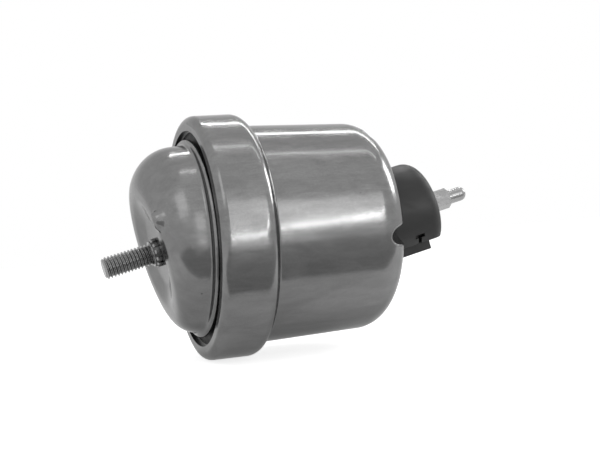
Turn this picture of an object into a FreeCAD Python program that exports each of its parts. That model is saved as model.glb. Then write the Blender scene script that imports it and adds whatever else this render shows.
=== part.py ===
import FreeCAD, Part
import math
import os

import PartDesign
import Sketcher
from FreeCAD import Placement, Rotation, Vector

"""Hydraulic engine mount: a drawn and crimped steel can with a tilted stop cap and M8 stud at the top, a rubber
main spring, channel plates, decoupler and diaphragm inside, and a keyed boss with a locating pin below.

Millimetres. The can axis is Z and the origin is where the collar meets the can body. The stud, its cap, the boss
and the pin all lean by the same angle in the XZ plane, the stud toward -X and the pin toward +X.
"""

doc = FreeCAD.newDocument("engine_mount")
sheet = doc.addObject("Spreadsheet::Sheet", "Sizes")

SIZES = [
    # drawn steel
    ("sheet_gauge", 2.0, "wall of the can and of the stop cap"),
    ("lean_angle", 12.5, "lean of the stud, cap, boss and pin, degrees"),
    ("seat_gap", 0.1, "free space between pieces that drop into each other"),
    # can_housing
    ("can_radius", 40.0, "outside of the can body at the collar"),
    ("can_draft", 1.65, "draft of the can body, degrees"),
    ("can_depth", 50.0, "collar foot to end plane"),
    ("can_end_round", 12.0, "outside round at the closed end"),
    ("end_opening_radius", 20.5, "opening in the closed end"),
    ("collar_radius", 44.4, "outside of the collar"),
    ("collar_height", 20.8, "origin to the front of the crimped lip"),
    ("collar_foot", 2.2, "rise of the shoulder between can and collar"),
    ("lip_bore_radius", 39.2, "bore of the crimped lip"),
    ("notch_count", 5, "pressed notches around the end corner"),
    ("notch_radius", 3.3, "radius of each pressed notch"),
    ("notch_depth", 3.2, "depth of each pressed notch"),
    ("notch_edge_round", 1.0, "round along the edge of each notch"),
    ("notch_slope", 29.0, "climb of each notch from the end plane, degrees"),
    ("notch_first", 48.0, "direction of the first notch, degrees"),
    # stop_cap
    ("cap_rim_radius", 36.0, "outside of the cap rim"),
    ("cap_rim_lift", 20.0, "underside of the cap rim above the origin"),
    ("cap_foot_radius", 34.0, "cap flank where it leaves the rim"),
    ("cap_draft", 3.0, "draft of the cap flank, degrees"),
    ("cap_crown_lift", 41.2, "top of the drawn dome before the leaning face flattens it"),
    ("cap_crown_round", 15.4, "round of that dome"),
    ("cap_rise", 35.8, "leaning face of the cap, measured square to it from the origin"),
    ("cap_shoulder", 9.0, "round between the leaning face and the dome"),
    ("cap_foot_round", 0.8, "round between the flank and the rim"),
    ("dish_depth", 2.07, "shallow dish in the cap face"),
    ("dish_floor_radius", 12.0, "flat floor of the dish"),
    ("dish_mouth_radius", 20.0, "mouth of the dish"),
    ("stud_seat_offset", -3.73, "X of the stud where it leaves the cap"),
    ("stud_seat_lift", 33.72, "Z of the stud where it leaves the cap"),
    ("nib_radius", 3.2, "half-sheared locating nib"),
    ("nib_top", 3.4, "flat top of the nib above the stud seat"),
    ("nib_root", 8.0, "depth to which the nib runs down into the dome"),
    ("nib_forward", 12.4, "nib centre along the lean"),
    ("nib_side", 25.5, "nib centre across the lean"),
    # stud, lock ring, core
    ("stud_radius", 4.0, "M8 stud"),
    ("neck_radius", 3.8, "undercut of the stud that holds the lock ring"),
    ("shank_radius", 4.6, "plain shank of the stud below the cap face"),
    ("stud_length", 20.4, "stud above the cap"),
    ("stud_chamfer", 0.8, "lead-in at the stud end"),
    ("stud_head_radius", 7.0, "flanged head inside"),
    ("stud_head_height", 3.0, "flanged head inside"),
    ("ring_radius", 5.2, "toothed lock ring over the teeth"),
    ("ring_height", 2.0, "toothed part of the lock ring"),
    ("ring_lip_radius", 4.7, "thin lip on the lock ring"),
    ("ring_lip_height", 0.6, "thin lip on the lock ring"),
    ("ring_teeth", 12, "teeth of the lock ring"),
    ("core_height", 15.0, "inner core under the cap"),
    ("core_foot_radius", 10.0, "inner core at its lower end"),
    ("bell_radius", 14.0, "plate below the core"),
    ("bell_gauge", 2.0, "plate below the core"),
    # main spring and its outer ring
    ("spring_foot_lift", 9.0, "underside of the rubber at its outer edge"),
    ("spring_crown_lift", 26.0, "top of the rubber against the core"),
    ("spring_cave_lift", 18.5, "underside of the rubber against the core"),
    ("spring_edge_drop", 0.4, "top edge of the rubber below the lip underside"),
    ("ring_wall", 2.0, "wall of the outer ring"),
    ("ring_bore_radius", 38.6, "bore of the outer ring"),
    ("outer_ring_foot", 8.0, "lower end of the outer ring above the origin"),
    ("outer_ring_flange", 2.0, "flange of the outer ring"),
    # channel plates, decoupler, rivets
    ("plate_gauge", 1.5, "upper plate, and rim of the lower plate"),
    ("plate_radius", 42.3, "rim of both channel plates"),
    ("channel_body_radius", 34.5, "body of the lower plate"),
    ("channel_body_depth", 12.5, "body of the lower plate below its top"),
    ("track_inner_radius", 27.0, "inertia track"),
    ("track_outer_radius", 32.5, "inertia track"),
    ("track_depth", 9.5, "inertia track"),
    ("track_sweep", 318.0, "inertia track, degrees"),
    ("port_radius", 2.3, "ports at both ends of the track"),
    ("decoupler_radius", 20.0, "floating disc"),
    ("decoupler_gauge", 3.2, "floating disc"),
    ("decoupler_play", 1.6, "free lift of the floating disc"),
    ("decoupler_clearance", 0.4, "radial play of the floating disc"),
    ("floor_gauge", 2.5, "perforated floor under the disc"),
    ("window_radius", 2.6, "each hole of the perforated areas"),
    ("window_ring", 12.5, "circle of the holes"),
    ("window_count", 8, "holes on that circle"),
    ("rivet_radius", 1.6, "shank of the channel rivets"),
    ("rivet_ring", 23.7, "circle of the rivets"),
    ("rivet_head_radius", 2.6, "rivet heads"),
    ("rivet_head_height", 1.2, "rivet heads"),
    ("rivet_count", 4, "rivets"),
    # diaphragm
    ("diaphragm_gauge", 1.6, "rubber of the diaphragm"),
    ("diaphragm_drop", 20.0, "lowest fold below the origin"),
    ("diaphragm_crown", 12.0, "centre of the diaphragm below the origin"),
    ("diaphragm_skirt_radius", 36.7, "outside of the hanging skirt"),
    ("insert_width", 3.0, "steel ring in the diaphragm bead"),
    ("insert_gauge", 1.4, "steel ring in the diaphragm bead"),
    # end boss
    ("boss_pivot_depth", 47.0, "where the leaning boss axis crosses the can axis, below the origin"),
    ("boss_radius", 18.0, "outside of the boss"),
    ("boss_length", 25.1, "crossing point to the end of the boss"),
    ("boss_end_round", 5.0, "round at the end of the boss"),
    ("boss_flat", 11.6, "flat on the boss, from its axis"),
    ("boss_flange_radius", 26.3, "flange inside the can"),
    ("boss_flange_height", 3.0, "flange inside the can"),
    ("hub_radius", 12.0, "hub above the flange"),
    ("hub_height", 8.0, "hub above the crossing point"),
    ("key_reach", 15.4, "outer face of the key, from the boss axis"),
    ("key_width", 19.0, "key across the flat"),
    ("key_start", 5.4, "key from the end of the boss"),
    ("slot_start", 9.2, "T slot from the end of the boss"),
    ("slot_length", 3.9, "bar of the T slot along the boss"),
    ("slot_width", 1.3, "cut of the T slot"),
    ("slot_offset", 8.75, "bar of the T slot from the boss axis"),
    ("slot_floor", 12.0, "floor of the T slot from the boss axis"),
    # lower pin
    ("hex_across", 7.0, "hexagon of the pin, across flats"),
    ("hex_length", 10.9, "hexagon of the pin"),
    ("pin_radius", 2.75, "smooth end of the pin"),
    ("pin_length", 18.8, "pin below the boss, hexagon included"),
    ("pin_nose", 2.3, "rounding length at the pin end"),
    ("pin_shank_radius", 3.5, "pin inside the boss"),
    ("pin_head_radius", 8.0, "anchor head of the pin"),
    ("pin_head_height", 3.0, "anchor head of the pin"),
    # collar seal
    ("collar_seal_squeeze", 0.05, "clearance of the collar seal on each side"),
]

for line, (name, value, note) in enumerate(SIZES, start=1):
    sheet.set("A%d" % line, name)
    sheet.set("B%d" % line, str(value))
    sheet.set("C%d" % line, note)
    sheet.setAlias("B%d" % line, name)

# sizes that follow from the ones above
DERIVED = [
    ("can_inner_radius", "can_radius - sheet_gauge"),
    ("can_end_radius", "can_radius - can_depth * tan(can_draft * 1deg)"),
    ("can_inner_end_radius", "can_end_radius - sheet_gauge"),
    ("collar_inner_radius", "collar_radius - sheet_gauge"),
    ("lip_underside", "collar_height - sheet_gauge"),
    ("shoulder_inner_lift", "collar_foot + 1.3"),
    ("shoulder_inner_start", "collar_foot - 0.9"),
    ("end_inner_depth", "can_depth - sheet_gauge"),
    ("flange_underside", "lip_underside - outer_ring_flange"),
    ("upper_plate_top", "outer_ring_foot"),
    ("upper_plate_foot", "upper_plate_top - plate_gauge"),
    ("lower_rim_foot", "upper_plate_foot - plate_gauge"),
    ("channel_foot", "upper_plate_foot - channel_body_depth"),
    ("cavity_depth", "decoupler_gauge + decoupler_play"),
    ("cavity_radius", "decoupler_radius + decoupler_clearance"),
    ("cavity_floor", "upper_plate_foot - cavity_depth"),
    ("bore_radius", "shank_radius + seat_gap"),
    ("ring_top", "ring_height + ring_lip_height"),
    ("flange_top_depth", "end_inner_depth - boss_flange_height"),
    ("hex_half", "hex_across / 2"),
]
for line, (name, formula) in enumerate(DERIVED, start=len(SIZES) + 1):
    sheet.set("A%d" % line, name)
    sheet.set("B%d" % line, "=" + formula)
    sheet.setAlias("B%d" % line, name)
doc.recompute()


def size(expression):
    """Value of an expression over the sheet, as a plain number."""
    value = sheet.evalExpression(full(expression))
    return float(getattr(value, "Value", value))


def full(expression):
    """Expression with every size name pointed at the sheet."""
    text = str(expression)
    out, word = "", ""
    for char in text + " ":
        if char.isalnum() or char == "_":
            word += char
            continue
        out += "Sizes." + word if word in NAMES else word
        word = ""
        out += char
    return out.strip()


NAMES = {name for name, *_ in SIZES} | {name for name, *_ in DERIVED}

LEAN = "lean_angle * 1deg"


def on_stud(across, along):
    """Corner given along and across the leaning stud axis, from its seat on the cap, as sketch expressions."""
    return (
        "stud_seat_offset + (%s) * cos(%s) - (%s) * sin(%s)" % (across, LEAN, along, LEAN),
        "stud_seat_lift + (%s) * sin(%s) + (%s) * cos(%s)" % (across, LEAN, along, LEAN),
    )


def new_body(label):
    body = doc.addObject("PartDesign::Body", label)
    body.Label = label
    return body


def sketch_on(body, role, label):
    """Empty sketch lying on one of the body's own origin planes."""
    plane = next(f for f in body.Origin.OriginFeatures if getattr(f, "Role", "") == role)
    sketch = body.newObject("Sketcher::SketchObject", label)
    sketch.AttachmentSupport = [(plane, "")]
    sketch.MapMode = "FlatFace"
    return sketch


def pin_point(sketch, edge, point, corner):
    """Hold one sketch point at a corner given by two expressions."""
    for kind, axis, expression in (("DistanceX", -2, corner[0]), ("DistanceY", -1, corner[1])):
        value = size(expression)
        if str(expression) == "0":
            sketch.addConstraint(Sketcher.Constraint("PointOnObject", edge, point, axis))
        else:
            index = sketch.addConstraint(Sketcher.Constraint(kind, -1, 1, edge, point, value))
            sketch.setExpression("Constraints[%d]" % index, full(expression))


def outline(sketch, corners):
    """Closed polygon through corners given as pairs of expressions."""
    points = [Vector(size(a), size(b), 0) for a, b in corners]
    first = None
    for start, end in zip(points, points[1:] + points[:1]):
        edge = sketch.addGeometry(Part.LineSegment(start, end), False)
        first = edge if first is None else first
    count = len(points)
    for n in range(count):
        sketch.addConstraint(
            Sketcher.Constraint("Coincident", first + n, 2, first + (n + 1) % count, 1)
        )
    for n, corner in enumerate(corners):
        pin_point(sketch, first + n, 1, corner)
    return first


def ring_of_circle(sketch, centre, radius):
    """Circle with its centre and radius bound to expressions."""
    at = Vector(size(centre[0]), size(centre[1]), 0)
    edge = sketch.addGeometry(Part.Circle(at, Vector(0, 0, 1), size(radius)), False)
    pin_point(sketch, edge, 3, centre)
    index = sketch.addConstraint(Sketcher.Constraint("Radius", edge, size(radius)))
    sketch.setExpression("Constraints[%d]" % index, full(radius))


def turned(body, corners, label="section", kind="Revolution", angle=360, axis=None):
    """Turned feature: a section on the XZ plane swept about Z, or about a line between two given corners."""
    sketch = sketch_on(body, "XZ_Plane", body.Label + "_" + label)
    outline(sketch, corners)
    name = "V_Axis"
    if axis:
        ends = [Vector(size(a), size(b), 0) for a, b in axis]
        edge = sketch.addGeometry(Part.LineSegment(*ends), True)
        pin_point(sketch, edge, 1, axis[0])
        pin_point(sketch, edge, 2, axis[1])
        name = "Axis0"
    feature = body.newObject("PartDesign::" + kind, body.Label + "_" + label + "_turn")
    feature.Profile = sketch
    feature.ReferenceAxis = (sketch, [name])
    if isinstance(angle, str):
        feature.setExpression("Angle", full(angle))
    else:
        feature.Angle = angle
    sketch.Visibility = False
    doc.recompute()
    return feature


def rounded(body, radius, chosen, label, kind="Fillet"):
    """Round or chamfer every edge of the body so far that the test picks."""
    base = body.Tip
    names = [
        "Edge%d" % (n + 1)
        for n, edge in enumerate(base.Shape.Edges)
        if not edge.Degenerated and chosen(edge)
    ]
    if not names:
        raise RuntimeError("no edge for %s on %s" % (label, body.Label))
    feature = body.newObject("PartDesign::" + kind, body.Label + "_" + label)
    feature.Base = (base, names)
    feature.setExpression("Radius" if kind == "Fillet" else "Size", full(radius))
    doc.recompute()
    return feature


def hoop_at(radius, lift, slack=0.02):
    """Test for a full circle about Z with this radius and height."""
    def test(edge):
        curve = edge.Curve
        return (
            isinstance(curve, Part.Circle)
            and abs(curve.Radius - size(radius)) < slack
            and abs(curve.Center.z - size(lift)) < slack
            and math.hypot(curve.Center.x, curve.Center.y) < slack
        )
    return test


def polygon_solid(body, role, corners, length, label, kind="Pad", middle=True):
    """Pad or pocket of a polygon, centred on its plane unless told otherwise."""
    sketch = sketch_on(body, role, body.Label + "_" + label + "_sketch")
    outline(sketch, corners)
    feature = body.newObject("PartDesign::" + kind, body.Label + "_" + label)
    feature.Profile = sketch
    feature.Midplane = middle
    feature.setExpression("Length", full(length))
    sketch.Visibility = False
    doc.recompute()
    return feature


def repeated(body, feature, count, label):
    """Even pattern of a feature about the body's Z axis."""
    pattern = body.newObject("PartDesign::PolarPattern", body.Label + "_" + label)
    pattern.Originals = [feature]
    axis = next(f for f in body.Origin.OriginFeatures if getattr(f, "Role", "") == "Z_Axis")
    pattern.Axis = (axis, [""])
    pattern.Angle = 360
    pattern.setExpression("Occurrences", full(count))
    body.Tip = pattern
    doc.recompute()
    return pattern


def leaned(body, offset="0", lift="0"):
    """Stand a body on a leaning axis that starts at the given point of the XZ plane."""
    body.Placement = Placement(Vector(size(offset), 0, size(lift)), Rotation(Vector(0, 1, 0), -size("lean_angle")))
    body.setExpression("Placement.Base.x", full(offset))
    body.setExpression("Placement.Base.z", full(lift))
    body.setExpression("Placement.Rotation.Angle", full("-lean_angle * 1deg"))
    doc.recompute()


def joined(kind, label, *parts):
    """Boolean of finished solids; a cut takes the second from the first."""
    feature = doc.addObject("Part::" + kind, label)
    feature.Label = label
    if kind == "MultiFuse":
        feature.Shapes = list(parts)
    else:
        feature.Base, feature.Tool = parts
    doc.recompute()
    return feature


nodes = {}

# --- can_housing: body, shoulder, collar and crimped lip drawn from one sheet ---------------------------------
can = new_body("can_wall")
turned(can, [
    ("end_opening_radius", "-can_depth"),
    ("can_end_radius", "-can_depth"),
    ("can_radius", "0"),
    ("collar_radius", "collar_foot"),
    ("collar_radius", "collar_height"),
    ("lip_bore_radius", "collar_height"),
    ("lip_bore_radius", "lip_underside"),
    ("collar_inner_radius", "lip_underside"),
    ("collar_inner_radius", "shoulder_inner_lift"),
    ("can_inner_radius", "shoulder_inner_start"),
    ("can_inner_end_radius", "-end_inner_depth"),
    ("end_opening_radius", "-end_inner_depth"),
])
rounded(can, "can_end_round", hoop_at("can_end_radius", "-can_depth"), "end_round")
rounded(can, "can_end_round - sheet_gauge", hoop_at("can_inner_end_radius", "-end_inner_depth"), "end_inner_round")
rounded(can, "collar_foot * 2.3", hoop_at("collar_radius", "collar_foot"), "foot_round")
rounded(can, "collar_foot * 1.4", hoop_at("collar_inner_radius", "shoulder_inner_lift"), "foot_inner_round")
rounded(can, "sheet_gauge", hoop_at("can_inner_radius", "shoulder_inner_start"), "neck_inner_round")
rounded(can, "sheet_gauge * 1.5", hoop_at("collar_radius", "collar_height"), "lip_round")
rounded(can, "sheet_gauge * 0.5", hoop_at("collar_inner_radius", "lip_underside"), "lip_inner_round")
rounded(can, "sheet_gauge * 0.5", hoop_at("can_radius", "0"), "neck_round")

# solid outline of the closed end: it bounds the inward bulge behind each notch
end_outline = new_body("end_outline")
turned(end_outline, [
    ("0", "-can_depth"),
    ("can_end_radius", "-can_depth"),
    ("can_radius", "0"),
    ("0", "0"),
])
rounded(end_outline, "can_end_round", hoop_at("can_end_radius", "-can_depth"), "end_round")


def notch_tools(label, radius):
    """One cylinder per notch, lying across the rounded end corner in its own meridian plane."""
    tools = []
    # the axis stands outside the corner round by the radius less the depth, and climbs outward at notch_slope
    stand = "(can_end_round + notch_radius - notch_depth)"
    length = "(can_end_round * 3)"
    slope = "(notch_slope * 1deg)"
    for n in range(int(size("notch_count"))):
        turn = "(notch_first + %d * 360 / notch_count)" % n
        tool = doc.addObject("Part::Cylinder", "%s_%d" % (label, n + 1))
        tool.setExpression("Radius", full(radius))
        tool.setExpression("Height", full(length))
        # the cylinder starts half its length down the slope from the point nearest the round
        radial = "(can_end_radius - can_end_round + %s * sin(%s) - %s / 2 * cos(%s))" % (stand, slope, length, slope)
        drop = "(%s * cos(%s) + %s / 2 * sin(%s))" % (stand, slope, length, slope)
        tool.setExpression("Placement.Base.x", full("%s * cos(%s * 1deg)" % (radial, turn)))
        tool.setExpression("Placement.Base.y", full("%s * sin(%s * 1deg)" % (radial, turn)))
        tool.setExpression("Placement.Base.z", full("can_end_round - can_depth - " + drop))
        angle = math.radians(size(turn))
        tool.Placement.Rotation = Rotation(Vector(-math.sin(angle), math.cos(angle), 0), 90 - size("notch_slope"))
        tools.append(tool)
    return tools


def softened(label, source, radius, faces):
    """Round all edges of the given faces of a joined form."""
    fillet = doc.addObject("Part::Fillet", label)
    fillet.Base = source
    value = size(radius)
    fillet.Edges = [
        (n, value, value) for n, edge in enumerate(source.Shape.Edges, start=1)
        if any(edge.isSame(side) for face in faces for side in face.Edges)
    ]
    doc.recompute()
    return fillet


doc.recompute()
bulges = joined("Common", "notch_bulges",
                joined("MultiFuse", "bulge_tools", *notch_tools("bulge", "notch_radius + sheet_gauge")), end_outline)
can_full = joined("MultiFuse", "can_with_bulges", can, bulges)
notched = joined("Cut", "notched_can", can_full,
                 joined("MultiFuse", "notch_cutters", *notch_tools("notch", "notch_radius")))
grooves = [
    face for face in notched.Shape.Faces
    if isinstance(face.Surface, Part.Cylinder) and abs(face.Surface.Radius - size("notch_radius")) < 0.001
]
nodes["can_housing"] = softened("can_housing", notched, "notch_edge_round", grooves)

# --- stop_cap: drawn cap with a level round rim and a leaning, dished face ------------------------------------
def cap_form(label, inset, rim):
    """Outside of the cap, or its hollow when inset by the sheet gauge."""
    body = new_body(label)
    wall = "(%s) / cos(cap_draft * 1deg)" % inset
    foot = "cap_rim_lift + sheet_gauge" if rim else "cap_rim_lift - 1"
    top = "cap_crown_lift - (%s)" % inset
    drop = "(%s - cap_rim_lift - sheet_gauge) * tan(cap_draft * 1deg)"
    corners = [("0", top), ("0", "cap_rim_lift" if rim else foot)]
    if rim:
        corners += [("cap_rim_radius", "cap_rim_lift"), ("cap_rim_radius", foot)]
    corners += [
        ("cap_foot_radius - %s - %s" % (wall, drop % ("(%s)" % foot)), foot),
        ("cap_foot_radius - %s - %s" % (wall, drop % ("(%s)" % top)), top),
    ]
    turned(body, corners)
    rounded(body, "cap_crown_round - (%s)" % inset, hoop_at(corners[-1][0], top), "crown")
    face = "dish_depth - (%s)" % inset
    half = "cap_rim_radius * 2"
    polygon_solid(body, "XZ_Plane", [
        on_stud("-" + half, face), on_stud(half, face),
        on_stud(half, face + " + " + half), on_stud("-" + half, face + " + " + half),
    ], half + " * 2", "face_cut", "Pocket")
    level = size("cap_rise - (%s)" % inset)
    lean = math.radians(size("lean_angle"))
    rounded(body, "cap_shoulder - (%s)" % inset, lambda edge: all(
        abs(-math.sin(lean) * v.Point.x + math.cos(lean) * v.Point.z - level) < 0.05 for v in edge.Vertexes
    ) and edge.Length > 20, "shoulder")
    low, high = "-(%s)" % inset, "dish_depth - (%s) + 0.01" % inset
    turned(body, [
        on_stud("0", low), on_stud("dish_floor_radius", low), on_stud("dish_mouth_radius", high),
        on_stud("dish_mouth_radius", high + " + 5"), on_stud("0", high + " + 5"),
    ], "dish", "Groove", axis=(on_stud("0", low), on_stud("0", high + " + 5")))
    if rim:
        rounded(body, "cap_foot_round", hoop_at("cap_foot_radius", "cap_rim_lift + sheet_gauge"), "foot")
    return body


cap_outside = cap_form("cap_outside", "0", True)
cap_hollow = cap_form("cap_hollow", "sheet_gauge", False)

# locating nib, half sheared out of the shoulder: raised outside, with a matching recess behind
nib = new_body("nib_tool")
turned(nib, [("0", "-nib_root"), ("nib_radius", "-nib_root"), ("nib_radius", "nib_top"), ("0", "nib_top")])
rounded(nib, "nib_radius * 0.2", hoop_at("nib_radius", "nib_top"), "edge")
recess = new_body("nib_recess")
RECESS = "nib_radius - sheet_gauge * 0.3"
turned(recess, [("0", "-nib_root"), (RECESS, "-nib_root"), (RECESS, "nib_top - sheet_gauge"),
                ("0", "nib_top - sheet_gauge")])
bore = new_body("stud_bore")
turned(bore, [("0", "-core_height * 2"), ("bore_radius", "-core_height * 2"), ("bore_radius", "core_height"),
              ("0", "core_height")])
leaned(bore, "stud_seat_offset", "stud_seat_lift")
for tool in (nib, recess):
    leaned(tool, *on_stud("nib_forward", "0"))
    tool.setExpression("Placement.Base.y", full("-nib_side"))
doc.recompute()
cap_blank = joined("MultiFuse", "cap_blank", cap_outside, nib)
cap_shell = joined("Cut", "cap_shell", cap_blank, cap_hollow)
cap_recessed = joined("Cut", "cap_recessed", cap_shell, recess)
nodes["stop_cap"] = joined("Cut", "stop_cap", cap_recessed, bore)

# --- upper_stud, lock_ring, inner_core, bell_plate: all on the leaning stud axis ------------------------------
HEAD_TOP = "-(sheet_gauge + core_height + bell_gauge)"
stud = new_body("upper_stud")
turned(stud, [
    ("0", HEAD_TOP + " - stud_head_height"),
    ("stud_head_radius", HEAD_TOP + " - stud_head_height"),
    ("stud_head_radius", HEAD_TOP),
    ("shank_radius", HEAD_TOP),
    ("shank_radius", "0"),
    ("neck_radius", "0"),
    ("neck_radius", "ring_top"),
    ("stud_radius", "ring_top"),
    ("stud_radius", "stud_length"),
    ("0", "stud_length"),
])
rounded(stud, "stud_chamfer", hoop_at("stud_radius", "stud_length"), "lead", "Chamfer")
rounded(stud, "stud_chamfer", hoop_at("stud_head_radius", HEAD_TOP + " - stud_head_height"), "head_edge")
leaned(stud, "stud_seat_offset", "stud_seat_lift")
nodes["upper_stud"] = stud

ring = new_body("lock_ring")
turned(ring, [
    ("neck_radius", "0"), ("ring_radius", "0"), ("ring_radius", "ring_height"), ("ring_lip_radius", "ring_height"),
    ("ring_lip_radius", "ring_top"), ("neck_radius", "ring_top"),
])
# the gaps between the teeth: a V cut through the rim, repeated round the ring
gap = polygon_solid(ring, "XY_Plane", [
    ("ring_lip_radius", "0"),
    ("ring_radius + 1", "-(ring_radius * 0.22)"),
    ("ring_radius + 1", "ring_radius * 0.22"),
], "ring_height * 4", "tooth_gap", "Pocket")
repeated(ring, gap, "ring_teeth", "tooth_gaps")
leaned(ring, "stud_seat_offset", "stud_seat_lift")
nodes["lock_ring"] = ring

core = new_body("core_cone")
turned(core, [
    ("0", "-(sheet_gauge + core_height)"), ("core_foot_radius", "-(sheet_gauge + core_height)"),
    ("dish_floor_radius", "-sheet_gauge"), ("0", "-sheet_gauge"),
])
leaned(core, "stud_seat_offset", "stud_seat_lift")
bell = new_body("bell_disc")
turned(bell, [
    ("0", HEAD_TOP), ("bell_radius", HEAD_TOP), ("bell_radius", HEAD_TOP + " + bell_gauge"),
    ("0", HEAD_TOP + " + bell_gauge"),
])
rounded(bell, "bell_gauge * 0.4", hoop_at("bell_radius", HEAD_TOP), "edge")
leaned(bell, "stud_seat_offset", "stud_seat_lift")
nodes["inner_core"] = joined("Cut", "inner_core", core, bore)
nodes["bell_plate"] = joined("Cut", "bell_plate", bell, bore)

# --- main_spring: rubber cone bonded to the core inside and to the outer ring outside --------------------------
SPRING_TOP = "lip_underside - spring_edge_drop"
spring = new_body("spring_cone")
turned(spring, [
    ("core_foot_radius * 0.8", "spring_cave_lift"),
    ("ring_bore_radius", "spring_foot_lift"),
    ("ring_bore_radius", SPRING_TOP),
    ("ring_bore_radius - 9", SPRING_TOP + " + 0.7"),
    ("dish_floor_radius + 2", "spring_crown_lift"),
    ("core_foot_radius * 0.8", "spring_crown_lift"),
])
rounded(spring, "6", hoop_at("ring_bore_radius - 9", SPRING_TOP + " + 0.7"), "valley")
rounded(spring, "2", hoop_at("dish_floor_radius + 2", "spring_crown_lift"), "crown")
metalwork = joined("MultiFuse", "bonded_metal", core, bell)
nodes["main_spring"] = joined("Cut", "main_spring", spring, metalwork)

outer = new_body("outer_ring")
turned(outer, [
    ("ring_bore_radius", "outer_ring_foot"),
    ("ring_bore_radius + ring_wall", "outer_ring_foot"),
    ("ring_bore_radius + ring_wall", "flange_underside"),
    ("collar_inner_radius - seat_gap * 3", "flange_underside"),
    ("collar_inner_radius - seat_gap * 3", "lip_underside - sheet_gauge * 0.3"),
    ("collar_inner_radius - seat_gap * 3 - sheet_gauge * 0.5", "lip_underside"),
    ("ring_bore_radius", "lip_underside"),
])
nodes["outer_ring"] = outer

SEAL_SPAN = "(collar_inner_radius - ring_bore_radius - ring_wall)"
collar_seal = doc.addObject("Part::Torus", "collar_seal")
collar_seal.Label = "collar_seal"
collar_seal.setExpression("Radius1", full("ring_bore_radius + ring_wall + %s / 2" % SEAL_SPAN))
collar_seal.setExpression("Radius2", full("%s / 2 - collar_seal_squeeze" % SEAL_SPAN))
collar_seal.setExpression("Placement.Base.z", full("flange_underside - %s / 2" % SEAL_SPAN))
nodes["collar_seal"] = collar_seal

# --- channel plates, decoupler and rivets ----------------------------------------------------------------------
def perforate(body, label):
    """Ring of round holes and a centre hole, right through the middle of a plate."""
    sketch = sketch_on(body, "XY_Plane", body.Label + "_" + label + "_sketch")
    ring_of_circle(sketch, ("window_ring", "0"), "window_radius")
    hole = body.newObject("PartDesign::Pocket", body.Label + "_" + label)
    hole.Profile = sketch
    hole.Midplane = True
    hole.setExpression("Length", full("channel_body_depth * 4"))
    doc.recompute()
    repeated(body, hole, "window_count", label + "_ring")
    centre = sketch_on(body, "XY_Plane", body.Label + "_" + label + "_centre")
    ring_of_circle(centre, ("0", "0"), "window_radius * 1.5")
    middle = body.newObject("PartDesign::Pocket", body.Label + "_" + label + "_middle")
    middle.Profile = centre
    middle.Midplane = True
    middle.setExpression("Length", full("channel_body_depth * 4"))
    doc.recompute()


def rivet_holes(body):
    sketch = sketch_on(body, "XY_Plane", body.Label + "_rivet_sketch")
    ring_of_circle(sketch, ("rivet_ring", "0"), "rivet_radius")
    hole = body.newObject("PartDesign::Pocket", body.Label + "_rivet_hole")
    hole.Profile = sketch
    hole.Midplane = True
    hole.setExpression("Length", full("channel_body_depth * 4"))
    doc.recompute()
    repeated(body, hole, "rivet_count", "rivet_holes")


TRACK_MID = "(track_inner_radius + track_outer_radius) / 2"


def port(body, direction, label):
    """Round port of the inertia track in the given direction."""
    sketch = sketch_on(body, "XY_Plane", body.Label + "_" + label + "_sketch")
    ring_of_circle(sketch, (
        "%s * cos((%s) * 1deg)" % (TRACK_MID, direction), "%s * sin((%s) * 1deg)" % (TRACK_MID, direction),
    ), "port_radius")
    hole = body.newObject("PartDesign::Pocket", body.Label + "_" + label)
    hole.Profile = sketch
    hole.Midplane = True
    hole.setExpression("Length", full("channel_body_depth * 4"))
    doc.recompute()


upper_plate = new_body("upper_channel_plate")
turned(upper_plate, [
    ("0", "upper_plate_foot"), ("plate_radius", "upper_plate_foot"), ("plate_radius", "upper_plate_top"),
    ("0", "upper_plate_top"),
])
perforate(upper_plate, "window")
rivet_holes(upper_plate)
port(upper_plate, "8", "inlet")
nodes["upper_channel_plate"] = upper_plate

lower_plate = new_body("lower_channel_plate")
turned(lower_plate, [
    ("0", "channel_foot"), ("channel_body_radius", "channel_foot"), ("channel_body_radius", "lower_rim_foot"),
    ("plate_radius", "lower_rim_foot"), ("plate_radius", "upper_plate_foot"), ("0", "upper_plate_foot"),
])
turned(lower_plate, [
    ("0", "cavity_floor"), ("cavity_radius", "cavity_floor"), ("cavity_radius", "upper_plate_foot + 1"),
    ("0", "upper_plate_foot + 1"),
], "cavity", "Groove")
turned(lower_plate, [
    ("0", "channel_foot - 1"), ("cavity_radius", "channel_foot - 1"), ("cavity_radius", "cavity_floor - floor_gauge"),
    ("0", "cavity_floor - floor_gauge"),
], "relief", "Groove")
turned(lower_plate, [
    ("track_inner_radius", "upper_plate_foot - track_depth"), ("track_outer_radius", "upper_plate_foot - track_depth"),
    ("track_outer_radius", "upper_plate_foot + 1"), ("track_inner_radius", "upper_plate_foot + 1"),
], "track", "Groove", angle="track_sweep")
perforate(lower_plate, "window")
rivet_holes(lower_plate)
port(lower_plate, "-8", "outlet")
nodes["lower_channel_plate"] = lower_plate

disc = new_body("decoupler_disc")
turned(disc, [
    ("0", "cavity_floor"), ("decoupler_radius", "cavity_floor"),
    ("decoupler_radius", "cavity_floor + decoupler_gauge"), ("0", "cavity_floor + decoupler_gauge"),
])
rounded(disc, "decoupler_gauge * 0.3", lambda edge: isinstance(edge.Curve, Part.Circle), "edge")
nodes["decoupler_disc"] = disc


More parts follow.
